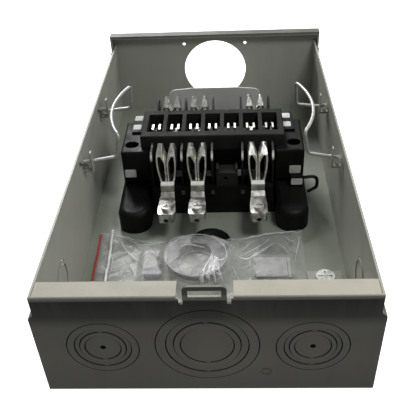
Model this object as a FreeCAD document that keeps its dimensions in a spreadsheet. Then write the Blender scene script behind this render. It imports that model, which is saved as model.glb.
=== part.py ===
import FreeCAD, Part
import math
import os
import re
import Sketcher

# An open ringless meter socket box, lying on its back: X across, Y from the bottom (knockout) end
# to the top (hub) end, Z up out of the open front. Lengths are millimetres. Places along Y are
# written from the outer face of the bottom end wall and shifted by half the length, so the origin
# is the middle of the underside.

DIMENSIONS = {
    # enclosure
    "width": 210, "length": 364, "steel": 1.5,
    "near_top": 86, "far_top": 76, "joggle_drop": 18, "joggle_run": 3, "joggle_inset": 1.9,
    "rim_half": 101.6, "flange_depth": 13, "wrap_depth": 14,
    "hood_top": 87, "hood_depth": 9, "hood_lip": 3,
    "tab_width": 25.4, "tab_top": 94, "notch_width": 33, "relief": 4.5, "relief_width": 2.4,
    "bend_round": 1.3, "tab_round": 3.2, "dimple_x": 36.3, "dimple_z": 18,
    "hasp_width": 19.2, "hasp_low": 85.8, "hasp_high": 90.8,
    "side_ko_x": 64, "side_ko_z": 41.5, "centre_ko_z": 43, "ko_gap": 0.7, "ko_set": 0.6,
    "hub_bore": 31.75, "hub_z": 45.5, "hub_screw_x": 31, "hub_screw_z": 28.7, "hub_screw_bore": 1.6,
    "wall_ko": 14.2, "wall_ko_y": 62, "wall_ko_z": 38,
    "mount_x": 60, "mount_low_y": 32, "mount_high_y": 332, "mount_bore": 3.5,
    # terminal block
    "pitch": 25, "base_half": 51.5, "base_front": 178.6, "base_rear": 297, "base_top": 14,
    "rail_front": 177.4, "rail_rear": 254.5, "rail_depth": 16.6, "rail_top": 29.5,
    "housing_in": 52, "housing_out": 77, "lobe_out": 79.5, "housing_front": 194, "housing_rear": 244, "housing_top": 55,
    "lobe_front": 152, "lobe_top": 21, "lobe_corner": 13, "lobe_edge": 6, "slot_low": 21.8, "slot_high": 26.4, "slot_deep": 5,
    "ear_x": 68.5, "ear_y": 206, "ear_long": 1.8, "ear_bore": 4.9, "ear_deep": 16,
    "bridge_half": 60.5, "bridge_front": 202.5, "bridge_rear": 245.5, "bridge_top": 65,
    "bridge_deep": 14, "window_pitch": 16.35, "window_wide": 13.1, "window_front": 210,
    "window_rear": 238.5, "barrier_thick": 1.6, "barrier_front": 182, "barrier_rear": 271,
    "barrier_top": 60.5, "barrier_waist": 50.3,
    # jaws, straps and screws
    "jaw_low": 33, "jaw_top": 67, "jaw_deep": 15, "jaw_front": 177.5, "jaw_rear": 256,
    "leaf": 1.2, "jaw_half": 8, "horn_out": 7.3, "horn_in": 2.9, "strap_thick": 2.5, "strap_top": 27,
    "strap_bend": 168, "strap_end": 144.5, "strap_neck": 5.5, "strap_half": 7, "lug_low": 19,
    "screw_y": 153, "head_bore": 4, "head_high": 2.8, "screw_bore": 2, "screw_long": 7,
    # loose and small parts
    "arc_bore": 85, "arc_y": 224.5, "wire": 1.4, "support_z": 79,
    "shield_half": 44.5, "shield_y": 305.2, "shield_top": 54.2, "shield_round": 7, "shield_foot": 12,
    "ground_x": 85.5, "ground_y": 95, "bag_half": 81, "bag_x": -12.5, "bag_front": 46,
    "bag_rear": 154, "bag_high": 12, "ring_x": -12.5, "ring_y": 114, "ring_out": 24.2, "ring_in": 13.5,
    "ring_high": 11, "ring_wall": 1.4,
}

doc = FreeCAD.newDocument("meter_socket_box")
sheet = doc.addObject("Spreadsheet::Sheet", "dims")
for row, (alias, number) in enumerate(DIMENSIONS.items(), start=1):
    sheet.set("A%d" % row, alias)
    sheet.set("B%d" % row, str(number))
    sheet.setAlias("B%d" % row, alias)
doc.recompute()

WORDS = re.compile(r"\b(" + "|".join(sorted(DIMENSIONS, key=len, reverse=True)) + r")\b")
NODES = []


def expression(text):
    """Turn plain dimension words into references to the sheet's cells."""
    return WORDS.sub(r"dims.\1", str(text))


def bind(item, **places):
    for path, text in places.items():
        item.setExpression(path.replace("__", "."), expression(text))
    return item


def along(y):
    return "(%s) - length / 2" % y


def node(item, label):
    """Name a finished sub-part; its label is its file name."""
    item.Label = label
    NODES.append(item)
    return item


def box(size, at):
    """A block of the given size with its lowest corner at (x, y from the bottom end, z)."""
    item = doc.addObject("Part::Box", "block")
    bind(item, Length=size[0], Width=size[1], Height=size[2])
    return bind(item, Placement__Base__x=at[0], Placement__Base__y=along(at[1]),
                Placement__Base__z=at[2])


TURNS = {
    "z": FreeCAD.Rotation(),
    "y": FreeCAD.Rotation(FreeCAD.Vector(1, 0, 0), -90),
    "x": FreeCAD.Rotation(FreeCAD.Vector(0, 1, 0), 90),
}


def rod(radius, height, at, axis="z"):
    """A cylinder that grows from its start point along +X, +Y or +Z."""
    item = doc.addObject("Part::Cylinder", "rod")
    item.Placement = FreeCAD.Placement(FreeCAD.Vector(), TURNS[axis])
    bind(item, Radius=radius, Height=height)
    return bind(item, Placement__Base__x=at[0], Placement__Base__y=along(at[1]),
                Placement__Base__z=at[2])


def fuse(*items):
    item = doc.addObject("Part::MultiFuse", "joined")
    item.Shapes = list(items)
    return item


def group(*items):
    """Separate solids kept as one sub-part."""
    item = doc.addObject("Part::Compound", "set")
    item.Links = list(items)
    return item


def cut(base, *tools):
    item = doc.addObject("Part::Cut", "trimmed")
    item.Base = base
    item.Tool = tools[0] if len(tools) == 1 else fuse(*tools)
    return item


def common(first, second):
    item = doc.addObject("Part::Common", "shared")
    item.Base = first
    item.Tool = second
    return item


def outline(body, plane_role, points, offset="0"):
    """A closed sketch of straight runs whose corners are held by expressions."""
    sketch = body.newObject("Sketcher::SketchObject", "outline")
    plane = [part for part in body.Origin.OriginFeatures if part.Role == plane_role][0]
    sketch.AttachmentSupport = [(plane, "")]
    sketch.MapMode = "FlatFace"
    bind(sketch, AttachmentOffset__Base__z=offset)
    count = len(points)
    ring = [FreeCAD.Vector(math.cos(2 * math.pi * i / count), math.sin(2 * math.pi * i / count), 0)
            for i in range(count)]
    for i in range(count):
        sketch.addGeometry(Part.LineSegment(ring[i], ring[(i + 1) % count]), False)
    for i in range(count):
        sketch.addConstraint(Sketcher.Constraint("Coincident", i, 2, (i + 1) % count, 1))
    for i, point in enumerate(points):
        for kind, text, start in (("DistanceX", point[0], ring[i].x), ("DistanceY", point[1], ring[i].y)):
            index = sketch.addConstraint(Sketcher.Constraint(kind, -1, 1, i, 1, start))
            sketch.setExpression("Constraints[%d]" % index, expression(text))
    return sketch


def body_at(x="0"):
    """A body whose sketches count Y from the bottom end wall."""
    body = doc.addObject("PartDesign::Body", "body")
    return bind(body, Placement__Base__x=x, Placement__Base__y="0 - length / 2")


def padded(plane_role, points, length, offset="0", midplane=False, x="0"):
    """A prism from a closed outline: XY pads up, XZ pads towards -Y, YZ pads towards +X."""
    body = body_at(x)
    pad = body.newObject("PartDesign::Pad", "pad")
    pad.Profile = outline(body, plane_role, points, offset)
    pad.Midplane = midplane
    bind(pad, Length=length)
    return body


def rounded(item, radius, picked):
    """Round the edges of a body's tip for which picked(edge) is true."""
    doc.recompute()
    before = item.Tip
    edges = ["Edge%d" % (i + 1) for i, edge in enumerate(before.Shape.Edges) if picked(edge)]
    fillet = item.newObject("PartDesign::Fillet", "round")
    fillet.Base = (before, edges)
    bind(fillet, Radius=radius)
    item.Tip = fillet
    return item


def softened(item, radius, picked):
    """Round the edges of a finished boolean for which picked(edge) is true."""
    doc.recompute()
    fillet = doc.addObject("Part::Fillet", "round")
    fillet.Base = item
    fillet.Edges = [(i + 1, radius, radius) for i, edge in enumerate(item.Shape.Edges) if picked(edge)]
    return fillet


def edge_along(edge, axis):
    """True where an edge is a straight run along one axis."""
    return edge.Curve.TypeId == "Part::GeomLine" and abs(getattr(edge.tangentAt(edge.FirstParameter), axis)) > 0.999


def mirrored_points(points):
    return [("-(%s)" % x, y) for x, y in points]


# --- enclosure -------------------------------------------------------------------------------

OUTER = "(width / 2 - steel)"


def wall_profile(top):
    """The right wall's section: upright, joggle inwards and an upright rim."""
    return [
        (OUTER + " - steel", "steel"), (OUTER, "steel"), (OUTER, top + " - joggle_drop"),
        ("rim_half", top + " - joggle_drop + joggle_run"), ("rim_half", top), ("rim_half - steel", top),
        ("rim_half - steel", top + " - joggle_drop + joggle_run + 0.4"),
        (OUTER + " - steel", top + " - joggle_drop + 0.4"),
    ]


HOOKS = (166, 250)
HOOK_LOW = 57
HOOK_HIGH = 75
HOOK_REACH = 7.8


def side_wall(label, sign):
    """One side wall: a lofted section, a knockout bore and two lanced wire hooks."""
    body = body_at()
    near, far = (wall_profile(top) for top in ("near_top", "far_top"))
    if sign < 0:
        near, far = mirrored_points(near), mirrored_points(far)
    loft = body.newObject("PartDesign::AdditiveLoft", "wall")
    loft.Profile = outline(body, "XZ_Plane", near, "-steel")
    loft.Sections = [outline(body, "XZ_Plane", far, "-(length - steel)")]
    loft.Ruled = True
    bore = rod("wall_ko", "10", ("%d * (width / 2) - 5" % sign, "wall_ko_y", "wall_ko_z"), "x")
    wall = cut(body, bore)
    hooks = []
    inner = "%d * (width / 2 - 2 * steel)" % sign
    for place in HOOKS:
        reach = inner if sign < 0 else "%s - %s" % (inner, HOOK_REACH)
        tip = "%s + %s" % (inner, HOOK_REACH - 1.2) if sign < 0 else reach
        hooks.append(box((HOOK_REACH, 4, 1.4), (reach, place - 2, HOOK_LOW)))
        hooks.append(box((1.2, 4, HOOK_HIGH - HOOK_LOW), (tip, place - 2, HOOK_LOW)))
    return node(fuse(wall, *hooks), label)


def knockout(label, x, z, radii, pilot=None):
    """Concentric rings and a centre disc, alternately set in, held by small ties."""
    solids = []
    for i, radius in enumerate(radii):
        depth = "ko_set" if i % 2 else "0"
        ring = rod("%s - ko_gap / 2" % radius, "steel - ko_set", (x, depth, z), "y")
        if i + 1 < len(radii):
            hole = rod("%s + ko_gap / 2" % radii[i + 1], "10", (x, "-5", z), "y")
            ring = cut(ring, hole)
        elif pilot:
            ring = cut(ring, rod(pilot, "10", (x, "-5", z), "y"))
        solids.append(ring)
    for i, radius in enumerate(radii):
        outward = "ko_gap" if i else "ko_gap / 3"
        for side in (-1, 1):
            low = "%s %s" % (z, "+ %s - ko_gap" % radius if side > 0 else "- %s - %s" % (radius, outward))
            solids.append(box(("3", "steel - 2 * ko_set", "ko_gap + %s" % outward),
                              ("%s - 1.5" % x, "ko_set", low)))
    return node(fuse(*solids), label)


def build_enclosure():
    panel = box(("width - 2 * steel", "length - 2 * steel", "steel"), ("-" + OUTER, "steel", "0"))
    bores = [rod("mount_bore", "10", ("%d * mount_x" % side, place, "-5"))
             for side in (-1, 1) for place in ("mount_low_y", "mount_high_y")]
    node(cut(panel, *bores), "back_panel")
    side_wall("left_side_wall", -1)
    side_wall("right_side_wall", 1)
    bottom_end_wall()
    top_end_wall()
    inches = ("22.25", "17.5", "14.3", "11.1")
    knockout("left_knockout", "-side_ko_x", "side_ko_z", inches, "1.8")
    knockout("right_knockout", "side_ko_x", "side_ko_z", inches, "1.8")
    knockout("centre_knockout", "0", "centre_ko_z", ("31.75", "25.4", "20.6", "16.4"))
    for label, sign in (("left_wall_knockout", -1), ("right_wall_knockout", 1)):
        start = "%d * (width / 2 - 1.5 * steel) - steel / 2" % sign
        disc = rod("11.1", "steel", (start, "wall_ko_y", "wall_ko_z"), "x")
        sunk = "%s - %d * ko_set" % (start, sign)
        ring = cut(rod("wall_ko - ko_gap", "steel", (sunk, "wall_ko_y", "wall_ko_z"), "x"),
                   rod("11.1 + ko_gap", "10", ("(%s) - 5" % start, "wall_ko_y", "wall_ko_z"), "x"))
        node(group(disc, ring), label)


def bottom_end_wall():
    """The knockout end: plate, wrapped sides, folded-in flange and the hasp tab."""
    step = "near_top - joggle_drop"
    half = [("width / 2", "0"), ("width / 2", step), ("rim_half", step + " + joggle_run"),
            ("rim_half", "near_top"), ("notch_width / 2", "near_top"),
            ("notch_width / 2", "near_top - steel"), ("tab_width / 2", "near_top - steel"),
            ("tab_width / 2", "tab_top")]
    points = half + mirrored_points(half)[::-1]
    plate = padded("XZ_Plane", points, "steel", "-steel")
    bores = [rod("22.25 + ko_gap / 2", "10", ("%d * side_ko_x" % side, "-5", "side_ko_z"), "y")
             for side in (-1, 1)]
    bores.append(rod("31.75 + ko_gap / 2", "10", ("0", "-5", "centre_ko_z"), "y"))
    bores.append(box(("hasp_width", "10", "hasp_high - hasp_low"), ("-hasp_width / 2", "-5", "hasp_low")))
    for side in (-1, 1):
        left = "%d * (tab_width / 2 + relief_width / 2) - relief_width / 2" % side
        bores.append(box(("relief_width", "10", "relief"), (left, "-5", "near_top - steel - relief")))
    bores.append(cut(rod("3.6", "5.4", ("dimple_x", "-5", "dimple_z"), "y"),
                     rod("2.2", "5.4", ("dimple_x", "-5", "dimple_z"), "y")))
    wall = cut(plate, *bores)
    pieces = [wall]
    for side in (-1, 1):
        wide = "rim_half - notch_width / 2"
        left = "notch_width / 2" if side > 0 else "-rim_half"
        pieces.append(box((wide, "flange_depth", "steel"), (left, "0", "near_top - steel")))
        out = "width / 2 - steel" if side > 0 else "-width / 2"
        pieces.append(box(("steel", "wrap_depth", "near_top - joggle_drop - steel"), (out, "0", "steel")))
    trim = [box(("steel * 3", "20", "20"), ("%d * rim_half - %s" % (side, "0" if side > 0 else "steel * 3"),
                "steel", "near_top - 10")) for side in (-1, 1)]
    walls = [box(("steel + 0.4", "40", "14"),
                 ("rim_half - steel - 0.4" if side > 0 else "-rim_half", "steel", "near_top - 8"))
             for side in (-1, 1)]
    whole = cut(fuse(*pieces), *(trim + walls))
    front = -DIMENSIONS["length"] / 2
    whole = softened(whole, DIMENSIONS["tab_round"], lambda edge: edge_along(edge, "y")
                     and edge.CenterOfMass.z > DIMENSIONS["tab_top"] - 0.1)
    whole = softened(whole, DIMENSIONS["bend_round"], lambda edge: edge_along(edge, "x")
                     and abs(edge.CenterOfMass.y - front) < 0.01
                     and abs(edge.CenterOfMass.z - DIMENSIONS["near_top"]) < 0.01)
    node(whole, "bottom_end_wall")


def top_end_wall():
    """The hub end: plate, wrapped sides and a rain hood with a turned-down lip."""
    face = "length - steel"
    plate = box(("width", "steel", "hood_top"), ("-width / 2", face, "0"))
    hood = box(("width", "hood_depth", "steel"), ("-width / 2", "length - hood_depth", "hood_top - steel"))
    lip = box(("width", "steel", "hood_lip"), ("-width / 2", "length - hood_depth", "hood_top - hood_lip"))
    pieces = [plate, hood, lip]
    for side in (-1, 1):
        out = "width / 2 - steel" if side > 0 else "-width / 2"
        pieces.append(box(("steel", "wrap_depth", "far_top - 6"), (out, "length - wrap_depth", "steel")))
        pieces.append(box(("steel", "hood_depth", "hood_top - far_top + 6"),
                          (out, "length - hood_depth", "far_top - 6")))
    bores = [rod("hub_bore", "10", ("0", "length - 5", "hub_z"), "y")]
    for side in (-1, 1):
        for level in (-1, 1):
            bores.append(rod("hub_screw_bore", "10", ("%d * hub_screw_x" % side, "length - 5",
                             "hub_z + %d * hub_screw_z" % level), "y"))
    node(cut(fuse(*pieces), *bores), "top_end_wall")


# --- terminal block --------------------------------------------------------------------------

COLUMNS = {1: "-1.5 * pitch", 2: "-0.5 * pitch", 4: "1.5 * pitch"}
SEAT_COLUMN = "0.5 * pitch"


def terminal_base():
    """The black moulding under the jaws: a floor plate, two jaw rails and bridge posts."""
    plate = box(("2 * base_half", "base_rear - base_front", "base_top - steel"),
                ("-base_half", "base_front", "steel"))
    rails = [box(("2 * base_half - 2", "rail_depth", "rail_top - base_top"), ("-base_half + 1", start, "base_top"))
             for start in ("rail_front", "rail_rear")]
    relief = [box(("2 * strap_half + 1", "18", "10"), ("%s - strap_half - 0.5" % x, "base_rear - 17", "base_top - 4"))
              for x in COLUMNS.values()]
    grooves = [box(("barrier_thick + 0.2", "barrier_rear - barrier_front + 0.2", "40"),
                   ("%s * pitch - barrier_thick / 2 - 0.1" % k, "barrier_front - 0.1", "base_top"))
               for k in (-2, -1, 0, 1, 2)]
    node(cut(fuse(plate, *rails), *(relief + grooves)), "terminal_base")


def end_housing(label, sign):
    """A side moulding: rounded foot lobe, cable slot, upper housing and an ear recess."""
    low, high = ("housing_in", "housing_out") if sign > 0 else ("-housing_out", "-housing_in")
    inner, outer = ("housing_in + 0.4", "lobe_out") if sign > 0 else ("-lobe_out", "-housing_in - 0.4")
    lobe = padded("XY_Plane", [(inner, "lobe_front"), (outer, "lobe_front"), (outer, "housing_front + 14"),
                               (inner, "housing_front + 14")], "lobe_top - steel", "steel")
    lobe = rounded(lobe, "lobe_corner", lambda edge: edge_along(edge, "z") and edge.CenterOfMass.y < 155)
    lobe = rounded(lobe, "lobe_edge", lambda edge: edge.CenterOfMass.z > 20.9 and edge.CenterOfMass.y < 207)
    upper = padded("XY_Plane", [(low, "housing_front"), (high, "housing_front"), (high, "housing_rear"),
                                (low, "housing_rear")], "housing_top - steel", "steel")
    upper = rounded(upper, "2", lambda edge: edge_along(edge, "z") or edge.CenterOfMass.z > 54.9)
    post = box(("16.6", "29", "18"), ("54" if sign > 0 else "-70.6", "223.4", "39"))
    slot = box(("19", "slot_deep", "slot_high - slot_low"),
               ("%s + 3" % low, "housing_front", "slot_low"))
    side = box(("10", "7", "11.2"), ("66" if sign > 0 else "-76", "188", "20"))
    centre = "%d * ear_x" % sign
    ear = fuse(rod("ear_bore", "ear_deep + 1", (centre + " - ear_long / 2", "ear_y", "housing_top - ear_deep")),
               rod("ear_bore", "ear_deep + 1", (centre + " + ear_long / 2", "ear_y", "housing_top - ear_deep")),
               box(("ear_long", "2 * ear_bore", "ear_deep + 1"),
                   (centre + " - ear_long / 2", "ear_y - ear_bore", "housing_top - ear_deep")))
    under = box(("2 * bridge_half + 0.6", "bridge_rear - bridge_front + 0.6", "30"),
                ("-bridge_half - 0.3", "bridge_front - 0.3", "bridge_top - bridge_deep"))
    bay = box(("7", "32", "30"), ("housing_in - 1" if sign > 0 else "-housing_in - 6", "208", "38"))
    solids = [lobe, upper, post] + ([side] if sign > 0 else [])
    node(cut(fuse(*solids), slot, ear, under, bay), label)


def test_bridge():
    """The bar over the middle of the block with seven square windows."""
    bar = padded("XY_Plane", [("-bridge_half", "bridge_front"), ("bridge_half", "bridge_front"),
                              ("bridge_half", "bridge_rear"), ("-bridge_half", "bridge_rear")],
                 "bridge_deep", "bridge_top - bridge_deep")
    bar = rounded(bar, "1.2", lambda edge: edge.CenterOfMass.z > 64.9)
    windows = [box(("window_wide", "window_rear - window_front", "30"),
                   ("%d * window_pitch - window_wide / 2" % k, "window_front", "bridge_top - bridge_deep - 5"))
               for k in range(-3, 4)]
    notches = [box(("3", "3", "3"), ("%s * pitch - 1.5" % k, "bridge_rear - 1.8", "bridge_top - 1.5"))
               for k in (-1.5, -0.5, 0.5, 1.5)]
    node(cut(bar, *(windows + notches)), "test_bridge")
    legs = [box(("6", "10.5", "bridge_top - bridge_deep - base_top"),
                ("%s * window_pitch - 3" % k, "233", "base_top")) for k in (-2.5, 2.5)]
    node(group(*legs), "bridge_posts")
    panels = [box(("pitch - barrier_thick - 0.6", "1.4", "bridge_top - bridge_deep - rail_top"),
                  ("%s * pitch + barrier_thick / 2 + 0.3" % k, "bridge_front + 0.6", "rail_top"))
              for k in (-2, -1, 0, 1)]
    node(group(*panels), "bridge_skirt")


def contact_clip(number):
    """A small two-prong clip standing in one bridge window."""
    centre = "%d * window_pitch" % (number - 4)
    prongs = [box(("1.7", "8", "17"), ("%s + %s" % (centre, x), "222", "43")) for x in (-3.7, 2)]
    foot = box(("7.4", "8", "1.4"), ("%s - 3.7" % centre, "222", "43"))
    beak = padded("XY_Plane", [("-1.9", "216.5"), ("0", "214"), ("1.9", "216.5"), ("1.2", "217.3"),
                               ("0", "215.6"), ("-1.2", "217.3")], "12", "43", x=centre)
    stem = box(("1", "7", "1.4"), ("%s - 0.5" % centre, "215.5", "43"))
    node(fuse(*(prongs + [foot, beak, stem])), "contact_clip_%d" % number)


def clip_rail():
    rail = box(("112", "18", "3"), ("-56", "213", "40"))
    posts = [box(("6", "10", "40 - base_top"), ("%s - 3" % x, "217", "base_top"))
             for x in ("-0.5 * pitch", "0.5 * pitch")]
    node(fuse(rail, *posts), "clip_rail")


def barrier(number):
    """An insulating plate between two columns, notched under the bridge."""
    points = [("barrier_front", "base_top"), ("barrier_front", "barrier_top - 4"),
              ("barrier_front + 3", "barrier_top"), ("bridge_front - 1", "barrier_top"),
              ("bridge_front - 1", "barrier_waist"), ("bridge_rear + 1", "barrier_waist"),
              ("bridge_rear + 1", "barrier_top"), ("barrier_rear - 9", "barrier_top + 4.5"),
              ("barrier_rear - 3", "barrier_top + 4.5"), ("barrier_rear", "barrier_top"),
              ("barrier_rear", "base_top")]
    body = padded("YZ_Plane", points, "barrier_thick", "-barrier_thick / 2", x="%d * pitch" % (number - 3))
    window = box(("5", "34", "14"), ("%d * pitch - 2.5" % (number - 3), "208", "38"))
    node(cut(body, window), "barrier_%d" % number)


# --- jaws, straps, screws --------------------------------------------------------------------

def spring_jaw(label, x, front):
    """Two bowed leaves folded over at the top, so that their inner runs pinch a flat blade."""
    bend = "jaw_top - 3"
    outer = [("0.35", "jaw_low"), ("jaw_half - 2.6", "jaw_low"), ("jaw_half - 1.4", "jaw_low + 8"),
             ("jaw_half - 0.4", "jaw_low + 15"), ("jaw_half", "jaw_top - 11"), ("jaw_half - 0.2", "jaw_top - 6"),
             ("horn_out", bend), ("horn_out - 0.9", "jaw_top - 0.8"), ("horn_out - 2.2", "jaw_top"),
             ("horn_in + 1.1", "jaw_top - 0.6"), ("horn_in", "jaw_top - 2.4"), ("horn_in - 0.3", "jaw_top - 5"),
             ("1.3", "jaw_top - 8.6"), ("0.35", "jaw_top - 12.5")]
    eye = [("0.35 + leaf", "jaw_low + leaf"), ("jaw_half - 3.6 - leaf / 2", "jaw_low + leaf"),
           ("jaw_half - 1.4 - leaf", "jaw_low + 8"), ("jaw_half - 0.4 - leaf", "jaw_low + 15"),
           ("jaw_half - leaf", "jaw_top - 11"), ("jaw_half - 0.3 - leaf", "jaw_top - 7"),
           ("jaw_half - 2.4", "jaw_top - 5.4"), ("horn_in + leaf + 0.3", "jaw_top - 6"),
           ("1.5 + leaf", "jaw_top - 9.6"), ("0.35 + leaf", "jaw_top - 13")]
    solids = []
    for sign in (-1, 1):
        leaf = padded("XZ_Plane", outer if sign > 0 else mirrored_points(outer), "jaw_deep",
                      "-(%s + jaw_deep)" % front, x=x)
        opening = padded("XZ_Plane", eye if sign > 0 else mirrored_points(eye), "jaw_deep + 2",
                         "-(%s + jaw_deep + 1)" % front, x=x)
        solids.append(cut(leaf, opening))
    foot = box(("0.7", "jaw_deep", "leaf"), ("%s - 0.35" % x, front, "jaw_low"))
    pad = box(("2 * jaw_half - 6", "jaw_deep", "jaw_low - rail_top"),
              ("%s - jaw_half + 3" % x, front, "rail_top"))
    bevels = []
    for y, z in (("%s - 1" % front, "jaw_top - 6"), ("%s + jaw_deep + 1" % front, "jaw_top - 3")):
        run = "%s + %s" % (front, "8") if "- 1" in y else "%s + jaw_deep - 4" % front
        slant = padded("YZ_Plane", [(y, z), (run, "jaw_top + 0.3"), (y, "jaw_top + 0.3")], "30", "-15", x=x)
        bevels.append(slant)
    node(cut(fuse(*(solids + [foot, pad])), *bevels), label)


def flipped(text):
    """A place on the line side, mirrored through the middle of the jaw rows."""
    return "(jaw_front + jaw_rear + jaw_deep) - (%s)" % text


def terminal_strap(label, x, line_side):
    """A bent tin-plated strap from the jaw foot down to a wire lug with a clamp screw hole."""
    place = flipped if line_side else (lambda text: text)
    rear = place("jaw_front - 0.3")
    run = [(rear, "jaw_low + 3.8"), (rear, "rail_top + 0.1"), (place("strap_bend + 2"), "strap_top - strap_thick"),
           (place("strap_bend"), "strap_top - strap_thick - 0.5"), (place("strap_bend"), "lug_low"),
           (place("strap_end"), "lug_low"), (place("strap_end"), "strap_top - 2"),
           (place("strap_end + 1.5"), "strap_top"), (place("strap_bend"), "strap_top"),
           (place("jaw_front - 5.8"), "strap_top + 3"), (place("jaw_front - 5.3"), "jaw_low + 1.6"),
           (place("jaw_front - 4.7"), "jaw_low + 3"), (place("jaw_front - 3.6"), "jaw_low + 3.8")]
    plan = [("-strap_neck", place("jaw_front + 1")), ("strap_neck", place("jaw_front + 1")),
            ("strap_neck", place("strap_bend + 4")), ("strap_half", place("strap_bend - 10")),
            ("strap_half", place("strap_end + 4")), ("strap_half - 2", place("strap_end - 1")),
            ("-strap_half + 2", place("strap_end - 1")), ("-strap_half", place("strap_end + 4")),
            ("-strap_half", place("strap_bend - 10")), ("-strap_neck", place("strap_bend + 4"))]
    side = padded("YZ_Plane", run, "2 * strap_half + 2", "-strap_half - 1", x=x)
    top = padded("XY_Plane", plan, "60", x=x)
    bore = rod("screw_bore + 0.05", "30", (x, place("screw_y"), "lug_low - 5"))
    port = rod("1.9", "20", (x, place("strap_end + 9") if line_side else "strap_end - 10",
                             "lug_low + 2.4"), "y")
    node(cut(common(side, top), bore, port), label)


def clamp_screw(label, x, y, head="head_bore", low="strap_top"):
    """A round-headed screw with a crossed recess, standing on Z."""
    top = "%s + 0.02 + head_high" % low
    dome = rod(head, "head_high", (x, y, "%s + 0.02" % low))
    shank = rod("screw_bore", "screw_long", (x, y, "%s + 0.02 - screw_long" % low))
    slots = [box(("%s * 1.5" % head, "1.1", "3"), ("%s - %s * 0.75" % (x, head), "(%s) - 0.55" % y, top + " - 1.3")),
             box(("1.1", "%s * 1.5" % head, "3"), ("%s - 0.55" % x, "(%s) - %s * 0.75" % (y, head), top + " - 1.3"))]
    node(cut(fuse(dome, shank), *slots), label)


def build_block():
    terminal_base()
    end_housing("left_end_housing", -1)
    end_housing("right_end_housing", 1)
    test_bridge()
    clip_rail()
    for number in range(1, 8):
        contact_clip(number)
    for number in range(1, 6):
        barrier(number)
    for number, x in COLUMNS.items():
        spring_jaw("load_jaw_%d" % number, x, "jaw_front")
        spring_jaw("line_jaw_%d" % number, x, "jaw_rear")
        terminal_strap("load_strap_%d" % number, x, False)
        terminal_strap("line_strap_%d" % number, x, True)
        clamp_screw("load_screw_%d" % number, x, "screw_y")
        clamp_screw("line_screw_%d" % number, x, flipped("screw_y"))
    seat = box(("17.6", "12", "14"), (SEAT_COLUMN + " - 9.2", "178.5", "rail_top"))
    cheeks = [box(("2", "9", "17.6"), ("%s + %s" % (SEAT_COLUMN, x), "179.6", "rail_top")) for x in (-9.2, 6.4)]
    hole = rod("1.6", "20", (SEAT_COLUMN + " - 1.6", "170", "rail_top + 8.6"), "y")
    node(cut(fuse(seat, *cheeks), hole), "spare_jaw_seat")
    pins = [rod("1", "1.2", ("%d * pitch" % k, "rail_front - 2.2", "25.2"), "y") for k in (-1, 0, 1)]
    lugs = [box(("3", "1", "3.6"), ("%d * pitch - 1.5" % k, "rail_front - 1", "23.4")) for k in (-1, 0, 1)]
    node(group(*[fuse(pin, lug) for pin, lug in zip(pins, lugs)]), "rail_rivets")
    heads = []
    for sign in (-1, 1):
        centre = "%d * ear_x" % sign
        head = rod("4.2", "3", (centre, "ear_y", "housing_top - ear_deep"))
        slot = box(("10", "1.2", "3"), ("%s - 5" % centre, "ear_y - 0.6", "housing_top - ear_deep + 1.8"))
        heads.append(cut(head, slot))
    node(group(*heads), "base_mounting_screws")


# --- wire supports, shield, ground, jumper, bag ----------------------------------------------

def at(x, y, z):
    return FreeCAD.Vector(x, y - DIMENSIONS["length"] / 2, z)


def bent_wire(points, bends, radius):
    """A round wire through straight runs whose corners are rounded by tangent arcs."""
    edges = []
    start = points[0]
    for bend, before, corner, after in zip(bends, points, points[1:], points[2:]):
        back = (before - corner).normalize()
        ahead = (after - corner).normalize()
        half = back.getAngle(ahead) / 2
        set_back = bend / math.tan(half)
        middle = corner + (back + ahead).normalize() * (bend / math.sin(half) - bend)
        edges.append(Part.LineSegment(start, corner + back * set_back).toShape())
        edges.append(Part.Arc(corner + back * set_back, middle, corner + ahead * set_back).toShape())
        start = corner + ahead * set_back
    edges.append(Part.LineSegment(start, points[-1]).toShape())
    path = Part.Wire(edges)
    section = Part.Wire(Part.makeCircle(radius, points[0], points[1] - points[0]))
    return path.makePipeShell([section], True, False), path.Length


def meter_support(label, sign):
    """One bent wire: a ring arc, two legs down and two tails that hook behind the wall tongues."""
    size = DIMENSIONS
    high = size["support_z"]
    low = 56.5
    tail = 97.4
    centre = at(0, size["arc_y"], high)
    turns = (-29, -23, -17, -11, -5.5, 0, 5.5, 11, 17, 23, 29)
    ring = [centre + FreeCAD.Vector(sign * math.cos(math.radians(turn)), math.sin(math.radians(turn)), 0)
            * size["arc_bore"] for turn in turns]
    near_foot = at(sign * 78.5, 186.5, low)
    far_foot = at(sign * 76, 266.5, low)
    route = [at(sign * tail, 149, 77.4), at(sign * tail, 181, low), near_foot] + ring
    route += [far_foot, at(sign * tail, 262, low), at(sign * tail, 235, 74)]
    bends = [3.2, 3.2, 3.2] + [size["arc_bore"] * 0.9] * (len(ring) - 2) + [3.2, 3.2, 3.2]
    shape, length = bent_wire(route, bends, size["wire"])
    item = doc.addObject("Part::Feature", "bent_wire")
    item.Shape = shape
    print(label, "wire length %.1f mm" % length)
    return node(item, label)


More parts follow.
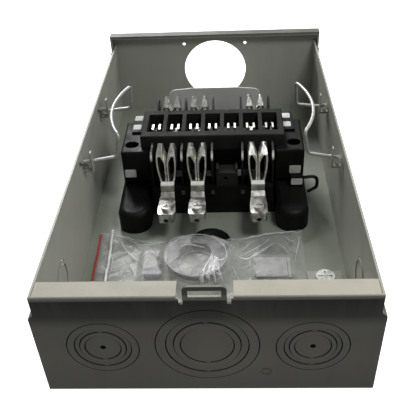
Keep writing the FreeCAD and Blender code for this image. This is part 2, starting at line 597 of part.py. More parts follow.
def build_small_parts():
    meter_support("left_meter_support", -1)
    meter_support("right_meter_support", 1)
    shield = padded("XZ_Plane", [("-shield_half", "steel"), ("shield_half", "steel"),
                                 ("shield_half", "shield_top - 2"), ("shield_half / 2", "shield_top"),
                                 ("-shield_half / 2", "shield_top"), ("-shield_half", "shield_top - 2")],
                    "1.2", "-(shield_y + 1.2)")
    shield = rounded(shield, "shield_round", lambda edge: edge_along(edge, "y") and edge.CenterOfMass.z > 50
                     and abs(edge.CenterOfMass.x) > 40)
    foot = box(("2 * shield_half", "shield_foot", "1.2"), ("-shield_half", "shield_y", "steel"))
    node(fuse(shield, foot), "line_side_shield")
    plate = box(("26", "16", "2.5"), ("ground_x - 13", "ground_y - 8", "steel"))
    bore = rod("screw_bore + 0.05", "20", ("ground_x", "ground_y", "-5"))
    node(cut(plate, bore), "ground_bracket")
    clamp_screw("ground_screw", "ground_x", "ground_y", "7", "4")
    doc.getObjectsByLabel("ground_screw")[0].Base.Shapes[1].setExpression("Height", "2.4")
    bind(doc.getObjectsByLabel("ground_screw")[0].Base.Shapes[1], Placement__Base__z="4.02 - 2.4")
    route = [at(76.3, 191, 28.5), at(88.5, 190, 31), at(88.5, 190, 19), at(81.1, 190.5, 14)]
    jumper = doc.addObject("Part::Feature", "loop")
    jumper.Shape = bent_wire(route, [4.5, 4.5], 1.4)[0]
    node(jumper, "jumper_wire")
    accessory_bag()


def accessory_bag():
    """The loose bag: a soft block with room for the ring, the cap and the folded strip."""
    low = "steel + 0.4"
    ring_at = ("ring_x", "ring_y", low)
    ring = cut(rod("ring_out", "ring_high", ring_at), rod("ring_in", "40", ("ring_x", "ring_y", "-5")),
               rod("ring_out - ring_wall", "ring_high", ("ring_x", "ring_y", low + " + ring_wall")))
    node(ring, "spare_ring")
    cap = padded("XY_Plane", [("-53.5", "96"), ("-38.5", "96"), ("-38.5", "123"), ("-53.5", "123")], "6.5", low)
    node(rounded(cap, "6.5", lambda edge: edge_along(edge, "z")), "spare_cap")
    strip = box(("30.5", "22", "3"), ("32", "97", low))
    node(strip, "folded_strip")
    bag = box(("2 * bag_half", "bag_rear - bag_front", "bag_high"), ("bag_x - bag_half", "bag_front", low))
    rooms = [cut(rod("ring_out + 0.4", "40", ("ring_x", "ring_y", "-5")),
                 rod("ring_in - 0.4", "60", ("ring_x", "ring_y", "-5"))),
             box(("15.8", "27.8", "40"), ("-53.9", "95.6", "-5")),
             box(("31.3", "22.8", "40"), ("31.6", "96.6", low + " - 1"))]
    rooms.append(box(("180", "40", "40"), ("-82", "143.5", "-5")))
    node(cut(bag, *rooms), "accessory_bag")


def check_and_write():
    """Refuse a failed object or a broken solid, then write one file per sub-part."""
    doc.recompute()
    broken = [item.Label for item in doc.Objects if {"Invalid", "Error"} & set(item.State)]
    for item in NODES:
        if item.Shape.isNull() or not item.Shape.isValid() or not item.Shape.Solids:
            broken.append(item.Label)
    if broken:
        raise RuntimeError("failed: " + ", ".join(broken))
    os.makedirs("parts", exist_ok=True)
    for item in NODES:
        item.Shape.exportStep("parts/%s.step" % item.Label)
    print(len(NODES), "sub-parts written")


build_enclosure()
build_block()
build_small_parts()
check_and_write()
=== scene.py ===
import math

import bmesh
import bpy
from mathutils import Matrix, Vector, noise


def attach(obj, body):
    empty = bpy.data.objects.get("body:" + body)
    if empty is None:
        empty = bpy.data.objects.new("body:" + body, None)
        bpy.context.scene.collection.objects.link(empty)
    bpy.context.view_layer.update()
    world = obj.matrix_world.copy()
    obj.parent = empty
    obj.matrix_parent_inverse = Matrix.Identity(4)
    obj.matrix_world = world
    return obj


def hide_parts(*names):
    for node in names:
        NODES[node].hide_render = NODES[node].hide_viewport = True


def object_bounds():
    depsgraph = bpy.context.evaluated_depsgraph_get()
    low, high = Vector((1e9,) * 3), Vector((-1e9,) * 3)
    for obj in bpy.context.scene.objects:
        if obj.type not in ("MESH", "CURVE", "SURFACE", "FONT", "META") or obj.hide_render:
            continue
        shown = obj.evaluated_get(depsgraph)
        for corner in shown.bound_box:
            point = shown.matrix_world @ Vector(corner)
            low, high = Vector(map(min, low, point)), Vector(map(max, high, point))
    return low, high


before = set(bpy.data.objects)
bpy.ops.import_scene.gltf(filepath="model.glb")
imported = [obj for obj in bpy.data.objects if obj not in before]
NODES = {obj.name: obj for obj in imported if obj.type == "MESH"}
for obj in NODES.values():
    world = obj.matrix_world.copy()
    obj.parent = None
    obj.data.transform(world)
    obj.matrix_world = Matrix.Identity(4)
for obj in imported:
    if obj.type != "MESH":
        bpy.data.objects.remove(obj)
CAD_BOX = [list(corner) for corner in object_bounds()]
HALF_LENGTH = 182.0                # mm, from the bottom end wall to the middle of the box
PART_HEIGHT = CAD_BOX[1][2]        # m
HIGHLIGHT_CORNER = (182.0, 60.5)        # mm, y and z of the barriers' front top corners, where a highlight is painted
CIRCLE_STEPS = 96


def place(x, y, z):
    """Millimetres, with y counted from the bottom end wall, as metres in the row frame."""
    return Vector((x, y - HALF_LENGTH, z)) / 1000


# --- materials -------------------------------------------------------------------------------

class Nodes:
    """A small helper that adds and links shader nodes in one material."""

    def __init__(self, name, **shader):
        self.material = bpy.data.materials.new(name)
        self.material.use_nodes = True
        self.tree = self.material.node_tree
        self.shader = self.tree.nodes["Principled BSDF"]
        for socket, value in shader.items():
            self.shader.inputs[socket.replace("_", " ")].default_value = value

    def add(self, kind, **inputs):
        node = self.tree.nodes.new("ShaderNode" + kind)
        for socket, value in inputs.items():
            self.feed(node.inputs[socket.replace("_", " ")], value)
        return node

    def feed(self, socket, value):
        if isinstance(value, bpy.types.NodeSocket):
            self.tree.links.new(value, socket)
        else:
            socket.default_value = value

    def spot(self, stretch=(1, 1, 1)):
        mapping = self.add("Mapping", Vector=self.add("TexCoord").outputs["Object"])
        mapping.inputs["Scale"].default_value = stretch
        return mapping.outputs["Vector"]

    def grain(self, scale, detail=3.0, roughness=0.55, stretch=(1, 1, 1)):
        return self.add("TexNoise", Vector=self.spot(stretch), Scale=scale, Detail=detail,
                        Roughness=roughness).outputs["Fac"]

    def remap(self, value, low, high, start=0.3, stop=0.7):
        node = self.add("MapRange", Value=value)
        names = ("From Min", "From Max", "To Min", "To Max")
        for socket, number in zip(names, (start, stop, low, high)):
            node.inputs[socket].default_value = number
        return node.outputs["Result"]

    def ramp(self, value, *stops):
        node = self.add("ValToRGB", Fac=value)
        band = node.color_ramp
        while len(band.elements) < len(stops):
            band.elements.new(0.5)
        for element, (spot, colour) in zip(band.elements, stops):
            element.position = spot
            element.color = (*colour, 1)
        return node.outputs["Color"]

    def blend(self, factor, first, second):
        node = self.tree.nodes.new("ShaderNodeMix")
        node.data_type = "RGBA"
        for socket, value in ((node.inputs["Factor"], factor), (node.inputs[6], first),
                              (node.inputs[7], second)):
            if isinstance(value, tuple):
                value = (*value, 1)
            self.feed(socket, value)
        return node.outputs[2]

    def multiply(self, first, second):
        node = self.tree.nodes.new("ShaderNodeMix")
        node.data_type = "RGBA"
        node.blend_type = "MULTIPLY"
        node.inputs["Factor"].default_value = 1.0
        self.feed(node.inputs[6], first)
        self.feed(node.inputs[7], second)
        return node.outputs[2]

    def scaled(self, first, second):
        node = self.tree.nodes.new("ShaderNodeMath")
        node.operation = "MULTIPLY"
        node.use_clamp = True
        self.feed(node.inputs[0], first)
        self.feed(node.inputs[1], second)
        return node.outputs[0]

    def bump(self, height, strength, distance):
        node = self.add("Bump", Height=height, Strength=strength, Distance=distance)
        return node.outputs["Normal"]

    def wire(self, **sockets):
        for socket, value in sockets.items():
            self.feed(self.shader.inputs[socket.replace("_", " ")], value)
        return self.material


def tint(colour, factor):
    return tuple(min(1.0, c * factor) for c in colour)


def painted_steel(name, colour, roughness=0.42, shade_bands=None):
    """Powder-coated sheet: fine orange peel, cloudy tone, darker vertical streaks painted in place of streaky
    reflections, and painted light and shade in tone bands along z if given.
    """
    n = Nodes(name, Metallic=0.0, Specular_IOR_Level=0.35)
    cloud = n.grain(9, 4)
    tone = n.ramp(cloud, (0.3, tint(colour, 0.9)), (0.7, tint(colour, 1.08)))
    if shade_bands:
        # Painted light and shade: the tone is multiplied by a ramp over height.
        height = n.add("SeparateXYZ", Vector=n.spot()).outputs["Z"]
        shade = n.ramp(n.remap(height, 0.0, 1.0, 0.0, PART_HEIGHT),
                       *[(z / 1000 / PART_HEIGHT, (level, level, level)) for z, level in shade_bands])
        tone = n.multiply(tone, shade)
    # Painted reflection: darker vertical streaks stand in for streaky reflections on the walls.
    reflection_streaks = n.grain(55, 4, 0.6, (1, 1, 0.15))
    tone = n.blend(n.remap(reflection_streaks, 0.0, 0.35, 0.45, 0.75), tone, tint(colour, 0.82))
    peel = n.bump(n.grain(700, 2), 0.16, 0.0004)
    return n.wire(Base_Color=tone, Roughness=n.remap(n.grain(35, 4), roughness - 0.07, roughness + 0.1),
                  Normal=peel)


def moulding(name, colour, roughness=0.5, dust=1.6, specular=0.18, highlight_tone=None):
    """Moulded thermoset: fine grain, dusty patches, and a painted highlight on the barriers' front top
    corners if a highlight colour is given.
    """
    n = Nodes(name, Specular_IOR_Level=specular)
    tone = n.ramp(n.grain(60, 5), (0.35, tint(colour, 0.75)), (0.7, tint(colour, dust)))
    if highlight_tone:
        # Painted highlight: the barriers' front top corner is blended to a pale tone.
        split = n.add("SeparateXYZ", Vector=n.spot())
        corner = place(0, *HIGHLIGHT_CORNER)
        near = n.remap(split.outputs["Y"], 1, 0, corner.y + 0.0015, corner.y + 0.004)
        high = n.remap(split.outputs["Z"], 0, 1, corner.z - 0.0075, corner.z - 0.005)
        tone = n.blend(n.scaled(near, high), tone, highlight_tone)
    return n.wire(Base_Color=tone, Roughness=n.remap(n.grain(120, 4), roughness - 0.1, roughness + 0.12),
                  Normal=n.bump(n.grain(1500, 2), 0.22, 0.0002))


def plated(name, colour, roughness, mottle=0.5, scale=260, bump=0.5, metallic=1.0, highlight_above=None):
    """Plated metal: crystals of lighter and darker tone, soft dents, and a painted highlight on the top if
    asked for.
    """
    n = Nodes(name, Metallic=metallic)
    cells = n.add("TexVoronoi", Vector=n.spot(), Scale=scale)
    patches = n.ramp(n.grain(scale * 0.9, 5, 0.6), (0.36, tint(colour, 1 - mottle)), (0.58, colour),
                     (0.8, tint(colour, 1.2)))
    tone = n.blend(n.remap(cells.outputs["Distance"], 0.0, 0.35, 0, 1), patches, tint(colour, 0.8))
    if highlight_above:
        # Painted highlight: above the given height the tone turns near white and the metal turns diffuse.
        height = n.add("SeparateXYZ", Vector=n.spot()).outputs["Z"]
        top_highlight = n.remap(height, 0.0, 1.0, highlight_above - 0.0012, highlight_above)
        tone = n.blend(top_highlight, tone, (1.0, 1.0, 0.96))
        n.wire(Metallic=n.remap(top_highlight, metallic, 0.0, 0, 1))
    return n.wire(Base_Color=tone, Roughness=n.remap(n.grain(scale * 1.5, 4), roughness, roughness + 0.22),
                  Normal=n.bump(n.grain(scale * 0.8, 4), bump, 0.0006))


def clear_plastic(name, colour, flat_alpha, edge_alpha, roughness=0.15, bump=0.3, scale=120, specular=0.3):
    """Thin clear plastic: nearly invisible face on, milky at a grazing angle, softly crinkled."""
    n = Nodes(name, Specular_IOR_Level=specular, IOR=1.5)
    tone = n.ramp(n.grain(40, 4), (0.3, tint(colour, 0.88)), (0.7, tint(colour, 1.1)))
    crinkle = n.bump(n.grain(scale, 4), bump, 0.0012)
    graze = n.add("LayerWeight", Blend=0.45).outputs["Facing"]
    cover = n.remap(graze, flat_alpha, edge_alpha, 0.1, 0.9)
    cover = n.scaled(cover, n.remap(n.grain(scale, 4), 0.65, 1.35))
    return n.wire(Base_Color=tone, Alpha=cover, Normal=crinkle,
                  Roughness=n.remap(n.grain(70, 3), roughness, roughness + 0.15))


PAINT = painted_steel("grey_enclosure_paint", (0.38, 0.38, 0.335))
# Back panel: the enclosure grey with its own greener tint, darkened as painted shade.
FLOOR = painted_steel("back_panel_paint_with_painted_shade", (0.285, 0.310, 0.250))
# Bands are (height in mm, tone factor), all painted light and shade: a lighter lower wall, a painted-shade
# band under the flange, a painted-highlight flange and a painted-shade tab.
FRONT_LIGHT_AND_SHADE_BANDS = ((0, 1.0), (30, 1.2), (60, 1.1), (69, 0.42), (82.6, 0.24), (83.8, 1.3), (86.2, 1.3),
               (88, 0.62), (94, 0.55))
FRONT = painted_steel("bottom_wall_paint_with_painted_shade", (0.345, 0.33, 0.275), 0.5, FRONT_LIGHT_AND_SHADE_BANDS)
SHIELD = painted_steel("shield_paint_coat", (0.62, 0.63, 0.60))
BLACK = moulding("black_moulded_plastic", (0.0045, 0.005, 0.0042))
# Barrier plastic with a painted highlight on the front top corners.
BARRIER_HIGHLIGHT = moulding("barrier_plastic_with_painted_highlight", (0.007, 0.0075, 0.0068), highlight_tone=(0.80, 0.82, 0.78))
CHARCOAL = moulding("bridge_moulded_plastic", (0.022, 0.024, 0.021), 0.62, 1.3, 0.1)
JAW = plated("tin_plated_jaw", (0.86, 0.85, 0.79), 0.24, 0.4, 240, 0.45)
# The lug's top band is painted white as a highlight.
LUG = plated("tin_plated_lug", (0.70, 0.69, 0.64), 0.28, 0.68, 190, 0.9, highlight_above=0.0362)
CLIP = plated("bright_clip_metal", (0.66, 0.66, 0.64), 0.3, 0.3, 300, 0.2)
SCREW = plated("zinc_screw_metal", (0.76, 0.75, 0.70), 0.28, 0.4, 500, 0.3)
DULL = plated("dull_rivet_metal", (0.20, 0.20, 0.19), 0.4, 0.3, 500, 0.3)
GROUND = plated("white_ground_screw", (0.80, 0.82, 0.76), 0.4, 0.45, 420, 0.5, 0.35)
WIRE = plated("zinc_spring_wire", (0.60, 0.60, 0.585), 0.34, 0.2, 500, 0.15, 0.55)
JUMPER = moulding("black_wire_sleeve", (0.006, 0.006, 0.006), 0.3, 1.4, 0.4)
FILM = clear_plastic("clear_bag_film", (0.62, 0.62, 0.61), 0.10, 0.44, 0.2, 0.6, 70, 0.45)
# Fold film: white partly because the film is doubled there, partly as a painted highlight on the creases.
FOLD = clear_plastic("white_bag_fold_with_painted_highlight", (0.92, 0.92, 0.91), 0.34, 0.8, 0.15, 0.5, 160)
RING = clear_plastic("clear_ring_plastic", (0.22, 0.18, 0.23), 0.10, 0.55, 0.3, 0.15, 160, 0.15)
# Ring beads: pale clear plastic as a painted highlight on the rim and hole edge.
RING_BEAD_HIGHLIGHT = clear_plastic("ring_bead_with_painted_highlight", (0.80, 0.77, 0.82), 0.5, 0.85, 0.2, 0.1, 160, 0.4)
CAP = clear_plastic("clear_cap_plastic", (0.24, 0.21, 0.27), 0.16, 0.5, 0.35, 0.2, 160, 0.12)
PIP = clear_plastic("dark_cap_opening", (0.10, 0.08, 0.12), 0.6, 0.9)
STRIP = clear_plastic("white_strip_plastic", (0.66, 0.66, 0.64), 0.45, 0.9, 0.4, 0.2, 160, 0.12)
# Hub end: a lighter copy of the enclosure grey, lifted further below 83.5 mm as painted light, with painted
# shade on the hood top above 85.5 mm.
HUB_END = painted_steel("hub_end_paint_with_painted_light", (0.40, 0.40, 0.355), 0.45,
                        ((0, 1.1), (83.5, 1.1), (85.5, 0.34), (94, 0.3)))
LABEL = moulding("white_label_paper", (0.74, 0.74, 0.70), 0.6, 1.2)
RED = moulding("red_zip_line", (0.50, 0.035, 0.03), 0.35, 1.2)
# Painted shadow for the knockouts' gaps and pilot holes.
KNOCKOUT_GAP_SHADOW = moulding("knockout_gap_painted_shadow", (0.012, 0.012, 0.010), 0.7, 1.2, 0.1)
WHITE = moulding("white_zip_line", (0.92, 0.92, 0.90), 0.35, 1.2)

NODE_MATERIALS = (
    (("back_panel",), FLOOR),
    (("bottom_end_wall", "left_knockout", "right_knockout", "centre_knockout"), FRONT),
    (("left_side_wall", "right_side_wall", "ground_bracket"), PAINT),
    (("top_end_wall",), HUB_END),
    (tuple("barrier_%d" % number for number in range(1, 6)), BARRIER_HIGHLIGHT),
    (("line_side_shield",), SHIELD),
    (("test_bridge",), CHARCOAL),
    (("ground_screw",), GROUND),
    (("rail_rivets",), DULL),
    (("jumper_wire",), JUMPER),
)


def material_for(name):
    for names, material in NODE_MATERIALS:
        if name in names:
            return material
    for word, material in (("knockout", PAINT), ("spare_jaw_seat", CHARCOAL), ("jaw", JAW), ("strap", LUG),
                           ("contact_clip", CLIP), ("screw", SCREW), ("support", WIRE)):
        if word in name:
            return material
    return BLACK


def bevelled(obj, width, segments=2, angle=35):
    change = obj.modifiers.new("edge_round", "BEVEL")
    change.width = width
    change.segments = segments
    change.limit_method = "ANGLE"
    change.angle_limit = math.radians(angle)
    change.harden_normals = False
    return obj


def dress_frame():
    """Give every carried-over node its material and soft edges."""
    for name, obj in NODES.items():
        obj.data.materials.clear()
        obj.data.materials.append(material_for(name))
        if name in ("left_meter_support", "right_meter_support", "jumper_wire"):
            obj.data.polygons.foreach_set("use_smooth", [True] * len(obj.data.polygons))
            continue
        width = 0.0006 if name.startswith(("terminal", "left_end", "right_end", "test")) else 0.0003
        bevelled(obj, width)


dress_frame()


# --- mesh helpers ----------------------------------------------------------------------------

def piece(name, mesh_maker, material, body="box", replaces=(), smooth=True):
    """Run a bmesh recipe, make an object of it and set it on its CAD body."""
    bm = bmesh.new()
    mesh_maker(bm)
    bmesh.ops.recalc_face_normals(bm, faces=bm.faces)
    mesh = bpy.data.meshes.new(name)
    bm.to_mesh(mesh)
    bm.free()
    obj = bpy.data.objects.new(name, mesh)
    bpy.context.scene.collection.objects.link(obj)
    mesh.materials.append(material)
    mesh.polygons.foreach_set("use_smooth", [smooth] * len(mesh.polygons))
    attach(obj, body)
    if replaces:
        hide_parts(*replaces)
    return obj


def grid(bm, rows, closed=False):
    """Skin a list of equally long rows of points."""
    made = [[bm.verts.new(point) for point in row] for row in rows]
    for first, second in zip(made, made[1:]):
        count = len(first)
        for i in range(count if closed else count - 1):
            j = (i + 1) % count
            bm.faces.new((first[i], first[j], second[j], second[i]))
    return made


def thick(obj, depth, offset=0.0):
    change = obj.modifiers.new("thickness", "SOLIDIFY")
    change.thickness = depth
    change.offset = offset
    return obj


# --- the loose bag ---------------------------------------------------------------------------

BAG_LEFT, BAG_RIGHT = -94.3, 73.0
BAG_NEAR = 58.0
RING_AT = (-12.5, 114.0)
RING_REACH = 24.4
FILM_OVER_RING = 13.5
CAP_AT, CAP_HALF = (-46.0, 109.5), (7.5, 13.5)
STRIP_FROM, STRIP_TO = (32.5, 97.5), (62.0, 118.5)


def eased(t):
    t = min(1.0, max(0.0, t))
    return t * t * (3 - 2 * t)


def far_edge(x):
    """How far the bag reaches towards the block: a dip in the middle, two higher corners."""
    left = 10.0 * eased((-52 - x) / 34)
    right = 10.0 * eased((x - 8) / 50)
    return 140.0 + left + right + 0.5 * math.sin(x * 0.21)


def over(x, y, centre, half, height, slope):
    """A rounded tent over a block of the given half sizes."""
    away = math.hypot(max(0.0, abs(x - centre[0]) - half[0]), max(0.0, abs(y - centre[1]) - half[1]))
    return height * math.exp(-(away / slope) ** 2)


def bag_height(x, y):
    """The top film: soft folds and sharp creases, plus what it lies over."""
    p = Vector((x, y, 0.0))
    soft = noise.noise(p * 0.045) * 2.2 + noise.noise(p * 0.12 + Vector((7, 3, 1))) * 1.5
    for scale, turn, rise in ((0.05, 0.6, 2.0), (0.09, -0.9, 1.2)):
        across = x * math.cos(turn) + y * math.sin(turn)
        run = y * math.cos(turn) - x * math.sin(turn)
        line = abs(noise.noise(Vector((across * scale, run * scale * 0.35, 4.0 + turn))))
        soft += rise * max(0.0, 1 - line * 5)
    away = math.hypot(x - RING_AT[0], y - RING_AT[1])
    ring = FILM_OVER_RING - 2.6 * max(0.0, 1 - (away / 12.5) ** 2) + 0.12 * soft
    if away > RING_REACH:
        ring = 3.5 + (FILM_OVER_RING - 3.5) * math.exp(-((away - RING_REACH) / 7.5) ** 1.5) + 0.3 * soft
    cap = over(x, y, CAP_AT, CAP_HALF, 9.2, 5.0)
    strip_centre = [(a + b) / 2 for a, b in zip(STRIP_FROM, STRIP_TO)]
    strip = over(x, y, strip_centre, (14.0, 10.0), 5.8, 5.0)
    return max(3.4 + max(-1.1, soft * 0.9), ring, cap + 0.15 * soft, strip + 0.3 * soft)


def bag_film(bm):
    columns, lines = 150, 84
    rows = []
    for j in range(lines + 1):
        v = j / lines
        row = []
        for i in range(columns + 1):
            u = i / columns
            x = BAG_LEFT + (BAG_RIGHT - BAG_LEFT) * u
            y = BAG_NEAR + (far_edge(x) - BAG_NEAR) * v
            rise = eased(min(u, 1 - u, v * 0.7, (1 - v) * 0.7) / 0.045)
            curl = 2.4 * max(0.0, 1 - (1 - v) / 0.05) * (0.7 + noise.noise(Vector((x * 0.09, 2, 2))))
            row.append(place(x, y, 2.4 + (bag_height(x, y) - 2.4) * rise + max(0, curl)))
        rows.append(row)
    grid(bm, rows)


def revolve(bm, centre, profile, steps=84):
    """Turn a closed (radius, height) outline about an upright axis."""
    rows = []
    for k in range(steps + 1):
        turn = 2 * math.pi * k / steps
        c, s = math.cos(turn), math.sin(turn)
        rows.append([place(centre[0] + r * c, centre[1] + r * s, z) for r, z in profile])
    grid(bm, rows, closed=True)
    bmesh.ops.remove_doubles(bm, verts=bm.verts, dist=1e-6)


def ring_shape(bm):
    """A clear sealing ring: a beaded rim, a slightly tapered wall and an inner flange."""
    revolve(bm, RING_AT, (
        (13.6, 2.2), (13.4, 3.0), (13.7, 3.7), (14.6, 3.6), (19.8, 3.7), (21.0, 4.3), (21.6, 5.6),
        (22.5, 11.0), (22.7, 12.2), (23.3, 12.8), (23.9, 12.7), (24.2, 12.0), (24.0, 11.0), (23.5, 6.0),
        (23.0, 2.9),
        (22.2, 2.1), (15.0, 2.0)))


def ring_beads(bm):
    """The thick bead round the rim and the thin lip round the hole, pale as a painted highlight."""
    revolve(bm, RING_AT, ((23.1, 12.3), (23.35, 12.85), (23.8, 12.9), (24.2, 12.6), (24.15, 12.1),
                          (23.5, 11.9)))
    revolve(bm, RING_AT, ((13.4, 3.1), (13.5, 3.7), (14.0, 3.75), (14.1, 3.2)))


def cap_shape(bm):
    """A clear spare cap lying flat: rounded corners, a low wall and a shallow dished top."""
    profile = ((0.0, 5.6), (0.55, 5.7), (0.74, 6.0), (0.80, 6.9), (0.90, 7.2), (0.98, 6.8), (1.0, 5.8),
               (1.0, 2.9), (0.96, 2.2), (0.0, 2.1))
    steps = 64
    rows = []
    for k in range(steps + 1):
        turn = 2 * math.pi * k / steps
        c, s = math.cos(turn), math.sin(turn)
        wide = math.copysign(abs(c) ** 0.42, c) * (CAP_HALF[0] - 0.2)
        long = math.copysign(abs(s) ** 0.42, s) * (CAP_HALF[1] - 0.2)
        rows.append([place(CAP_AT[0] + wide * r, CAP_AT[1] + long * r, z) for r, z in profile])
    grid(bm, rows)
    bmesh.ops.remove_doubles(bm, verts=bm.verts, dist=1e-6)


def cap_opening(bm):
    """The small dark hole in the cap's top, with a raised lip."""
    revolve(bm, (-43.0, 117.5), ((0.05, 6.0), (1.1, 6.1), (1.5, 6.7), (2.0, 6.7), (2.2, 6.0), (1.0, 5.7)), 28)


def strip_shape(bm):
    """A folded strip of clear sheet: three flat layers joined by tight bends."""
    left, right = STRIP_FROM[0] + 0.6, STRIP_TO[0] - 0.6
    path = [(left, 2.4), ((left + right) / 2, 2.3), (right - 1.5, 2.5), (right, 2.8), (right - 1.2, 3.2),
            ((left + right) / 2, 3.3), (left + 1.5, 3.2), (left, 3.7), (left + 1.2, 4.2),
            ((left + right) / 2, 4.1), (right - 2.5, 4.4)]
    rows = []
    for k in range(19):
        t = k / 18
        y = STRIP_FROM[1] + (STRIP_TO[1] - STRIP_FROM[1]) * t
        lift = 0.5 * eased((t - 0.88) / 0.12)
        rows.append([place(x, y, z + lift + 0.12 * math.sin(k * 0.5 + x * 0.2)) for x, z in path])
    grid(bm, rows)


# Each fold is a raised, doubled crease in the film: its width in mm, then the places it passes.
FOLDS = (
    (1.5, (-79, 143), (-71, 130), (-59, 117), (-53, 119), (-48, 125)),
    (1.0, (-60, 140), (-46, 136.5), (-35, 134.5), (-29, 131.5)),
    (1.0, (-82, 146), (-73, 143.5), (-64, 141)),
    (1.4, (12, 139), (28, 142), (43, 146.5), (57, 148.5), (70, 148)),
    (2.6, (17, 117.5), (27, 117), (35, 122), (43, 129), (49, 135)),
    (1.1, (22, 119), (30, 126), (38, 132), (46, 141)),
    (1.1, (59, 143), (62.5, 138.5), (67, 132)),
    (0.9, (70, 141), (68, 130), (64, 112)),
    (1.5, (-26, 121), (-18, 124.5), (-6, 121.5)),
    (0.9, (15, 104), (18, 98), (21, 92)),
    (0.8, (52, 136), (57, 128), (60, 122)),
    (0.8, (-70, 118), (-62, 106), (-60, 96)),
    (0.8, (-84, 132), (-80, 118), (-79, 104)),
)
# The crumpled patch in front of the ring fans out from one place to these feet, and is filled with flakes.
CRINKLE_APEX = (1.0, 114)
CRINKLE_FEET = ((-9.5, 91), (-7, 87), (-4.5, 90.5), (-2, 86), (0.5, 91), (3, 86.5), (5.5, 90), (8.5, 88))
CRINKLE_FLAKES = 22


def ribbon(bm, width, points):
    """A crowned, tapered strip that follows a smooth line over the film."""
    steps = 8
    line = []
    padded = [points[0], *points, points[-1]]
    for a, b, c, d in zip(padded, padded[1:], padded[2:], padded[3:]):
        for k in range(steps):
            t = k / steps
            line.append(Vector([0.5 * (2 * b[i] + (c[i] - a[i]) * t
                                       + (2 * a[i] - 5 * b[i] + 4 * c[i] - d[i]) * t * t
                                       + (3 * b[i] - a[i] - 3 * c[i] + d[i]) * t ** 3) for i in (0, 1)]))
    line.append(Vector(points[-1]))
    rows = []
    for k, spot in enumerate(line):
        ahead = line[min(k + 1, len(line) - 1)] - line[max(k - 1, 0)]
        side = Vector((-ahead.y, ahead.x)).normalized()
        half = 0.5 * width * (0.12 + math.sin(math.pi * k / (len(line) - 1)) ** 0.7)
        half *= 1 + 0.35 * noise.noise(Vector((spot.x * 0.3, spot.y * 0.3, 9)))
        row = []
        for across, lift in ((-1, 0.1), (-0.4, 0.5), (0.3, 0.65), (1, 0.15)):
            edge = spot + side * half * across
            row.append(place(edge.x, edge.y, bag_height(edge.x, edge.y) + lift))
        rows.append(row)
    grid(bm, rows)


def bag_folds(bm):
    """Every fold, then the crumpled patch: long creases, short flakes and a few cross creases."""
    for width, *points in FOLDS:
        ribbon(bm, width, points)
    apex = CRINKLE_APEX
    for k, foot in enumerate(CRINKLE_FEET):
        start = (apex[0] + 0.4 * k - 1.4, apex[1] - 6.0 * (k * 0.38 % 1))
        bend = (0.5 * (start[0] + foot[0]) + 1.4 * (-1) ** k, 0.5 * (start[1] + foot[1]))
        ribbon(bm, 1.1 + 0.4 * (k % 3), [start, bend, foot])
    for k in range(CRINKLE_FLAKES):
        down = (k * 0.618 + 0.05) % 1
        aside = (1.2 + 7.0 * down) * (2 * (k * 0.377 % 1) - 1)
        spot = Vector((apex[0] + aside, apex[1] - 3 - 22 * down))
        turn = 1.2 + 1.1 * (k * 0.29 % 1) * (-1) ** k
        reach = Vector((math.cos(turn), -math.sin(turn))) * (2.6 + 2.4 * (k * 0.71 % 1))
        cross = Vector((reach.y, -reach.x)) * 0.15
        middle = spot + reach * 0.5 + cross
        ribbon(bm, 1.5 + 0.7 * (k % 3), [tuple(spot), tuple(middle), tuple(spot + reach)])
    for k in range(6):
        spot = (apex[0] - 4.5 + 1.7 * k, 108 - 3.6 * k % 17)
        ribbon(bm, 1.8, [spot, (spot[0] + 2.0, spot[1] - 1.2), (spot[0] + 4.4, spot[1] + 0.8)])


def edge_line(x_near, x_far, width, lift):
    """A narrow coloured band that lies on the film beside its edge."""
    def recipe(bm):
        rows = []
        for k in range(60):
            t = k / 59
            y = BAG_NEAR + 2 + (far_edge(x_far) - 2.5 - BAG_NEAR) * t
            x = x_near + (x_far - x_near) * t + 0.3 * noise.noise(Vector((t * 6, x_near, 0)))
            high = 3.0 if x < BAG_LEFT + 5 else bag_height(x, y)
            rows.append([place(x + dx, y, high + lift) for dx in (-width / 2, 0, width / 2)])
        grid(bm, rows)
    return recipe


def back_plug(bm):
    """The round black plug in the back panel, half hidden by the bag."""
    outline = ((0.05, 1.6), (13.4, 1.6), (14.4, 2.0), (16.0, 2.1), (16.5, 1.55), (6.0, 1.51))
    revolve(bm, (-2.0, 141.2), outline, 60)


def build_bag():
    film = piece("bag_top_film", bag_film, FILM, "loose_bag", ("accessory_bag",))
    thick(film, 0.00012)
    ring = piece("spare_ring_body", ring_shape, RING, "loose_bag", ("spare_ring",))
    cap = piece("spare_cap_body", cap_shape, CAP, "loose_bag", ("spare_cap",))
    strip = piece("folded_strip_body", strip_shape, STRIP, "loose_bag", ("folded_strip",))
    thick(strip, 0.0002)
    folds = piece("bag_folds", bag_folds, FOLD, "loose_bag")
    thick(folds, 0.00012)
    piece("spare_ring_beads", ring_beads, RING_BEAD_HIGHLIGHT, "loose_bag")
    piece("spare_cap_opening", cap_opening, PIP, "loose_bag")
    for obj in (ring, cap, strip):
        change = obj.modifiers.new("smooth", "SUBSURF")
        change.levels = change.render_levels = 1
    for name, near, far, width, material in (("bag_red_line", -91.0, -93.2, 1.5, RED),
                                             ("bag_zip_line", -80.4, -83.6, 1.9, WHITE)):
        thick(piece(name, edge_line(near, far, width, 1.1), material, "loose_bag"), 0.0003)
    piece("back_panel_plug", back_plug, BLACK, "box")


# Painted shadow: dark discs that close the knockouts' gaps and pilot holes from within.
GAP_SHADOW_DISCS = ((-64, 41.5, 23.1), (0, 43, 32.6), (64, 41.5, 23.1))
GAP_SHADOW_FACES = (0.72, 0.78)


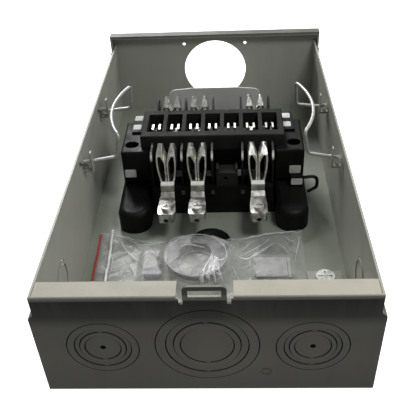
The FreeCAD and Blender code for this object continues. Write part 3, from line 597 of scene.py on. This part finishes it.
def gap_shadow_recipe(bm):
    """Thin dark discs inside the wall's thickness, seen only through the knockouts' gaps and pilot holes: a
    painted shadow in the gaps and holes.
    """
    for x, z, radius in GAP_SHADOW_DISCS:
        loops = []
        for y in GAP_SHADOW_FACES:
            turns = [math.tau * k / CIRCLE_STEPS for k in range(CIRCLE_STEPS)]
            loops.append([bm.verts.new(place(x + radius * math.cos(turn), y, z + radius * math.sin(turn)))
                          for turn in turns])
        bm.faces.new(loops[0])
        bm.faces.new(loops[1][::-1])
        for k in range(CIRCLE_STEPS):
            bm.faces.new((loops[0][k], loops[0][k - 1], loops[1][k - 1], loops[1][k]))


piece("knockout_gap_shadow_discs", gap_shadow_recipe, KNOCKOUT_GAP_SHADOW, "box", smooth=False)


build_bag()


# --- labels ----------------------------------------------------------------------------------

def label(name, centre, width, height, lean):
    """A blank sticker with softened corners, leaning back from the front face by lean degrees."""
    def recipe(bm):
        count = 20
        ring = []
        for k in range(count):
            turn = 2 * math.pi * k / count
            c, s = math.cos(turn), math.sin(turn)
            x = math.copysign(abs(c) ** 0.2, c) * width / 2
            up = math.copysign(abs(s) ** 0.2, s) * height / 2
            ring.append((x, up))
        slope = math.radians(lean)
        points = [place(centre[0] + x, centre[1] + up * math.cos(slope), centre[2] + up * math.sin(slope))
                  for x, up in ring]
        face = bm.faces.new([bm.verts.new(p) for p in points])
        out = bmesh.ops.extrude_face_region(bm, geom=[face])
        shift = Vector((0, -math.sin(slope), math.cos(slope))) * 0.00015
        raised = [v for v in out["geom"] if isinstance(v, bmesh.types.BMVert)]
        bmesh.ops.translate(bm, vec=shift, verts=raised)
    return piece(name, recipe, LABEL, "box", smooth=False)


FLAT, UPRIGHT = 0, 90
LABELS = (
    ("label_left_post_far", (-66.4, 246.0, 57.02), 7.0, 8.0, FLAT),
    ("label_left_post_near", (-66.4, 231.0, 57.02), 7.0, 8.0, FLAT),
    ("label_right_post_far", (64.7, 246.0, 57.02), 7.0, 8.0, FLAT),
    ("label_right_post_near", (64.5, 231.5, 57.02), 7.0, 8.0, FLAT),
    ("label_left_front", (-70.6, 193.98, 33.6), 9.6, 8.0, UPRIGHT),
    ("label_right_front", (69.6, 193.98, 35.2), 9.6, 8.0, UPRIGHT),
    ("label_right_low", (71.0, 187.98, 26.6), 9.6, 6.4, UPRIGHT),
)
for entry in LABELS:
    label(*entry)


# --- stage, light, camera --------------------------------------------------------------------

FLOOR_GLOW = 1.15
WORLD_LEVEL = 0.155


def build_stage():
    """A pale floor that glows evenly but lights and mirrors nothing, under a dim even sky."""
    bpy.ops.mesh.primitive_plane_add(size=12, location=(0, 0, -0.0005))
    floor = bpy.context.object
    floor.name = "pale_floor"
    n = Nodes("pale_floor_paper", Roughness=0.9, Specular_IOR_Level=0.1)
    tone = n.ramp(n.grain(3, 3), (0.3, (0.93, 0.93, 0.93)), (0.7, (0.96, 0.96, 0.96)))
    floor.data.materials.append(n.wire(Base_Color=tone, Emission_Color=tone, Emission_Strength=FLOOR_GLOW))
    floor.visible_diffuse = False
    floor.visible_glossy = False
    world = bpy.data.worlds.new("studio")
    bpy.context.scene.world = world
    world.use_nodes = True
    back = world.node_tree.nodes["Background"]
    back.inputs["Color"].default_value = (0.95, 0.97, 1.0, 1)
    back.inputs["Strength"].default_value = WORLD_LEVEL


def softbox(name, at, aim, size, power):
    """A white area light of the given size in metres, turned towards its aim."""
    data = bpy.data.lights.new(name, "AREA")
    data.shape = "RECTANGLE"
    data.size, data.size_y = size
    data.energy = power
    obj = bpy.data.objects.new(name, data)
    bpy.context.scene.collection.objects.link(obj)
    obj.location = at
    obj.rotation_euler = (Vector(aim) - Vector(at)).to_track_quat("-Z", "Y").to_euler()


def build_camera():
    """The camera fitted to the object: 54.9 mm lens, looking 38.8 degrees down."""
    data = bpy.data.cameras.new("camera")
    data.lens = 54.93
    data.sensor_width = 36.0
    data.clip_start = 0.01
    camera = bpy.data.objects.new("camera", data)
    bpy.context.scene.collection.objects.link(camera)
    yaw, tilt, roll = (math.radians(turn) for turn in (3.025, 51.225, -2.758))
    turn = Matrix.Rotation(yaw, 4, "Z") @ Matrix.Rotation(tilt, 4, "X") @ Matrix.Rotation(roll, 4, "Z")
    camera.matrix_world = Matrix.Translation((0.01756, -0.42938, 0.34937)) @ turn
    bpy.context.scene.camera = camera


build_stage()
softbox("rear_key", (-0.28, 0.95, 0.86), (0, 0, 0.03), (0.42, 0.42), 13)
softbox("near_top", (0.20, -0.13, 0.5), (0.11, -0.10, 0.0), (0.14, 0.14), 0.95)
softbox("right_fill", (0.85, 0.2, 0.62), (-0.1, 0.08, 0.05), (0.5, 0.5), 3.2)
build_camera()
bpy.context.scene.view_settings.view_transform = "Standard"
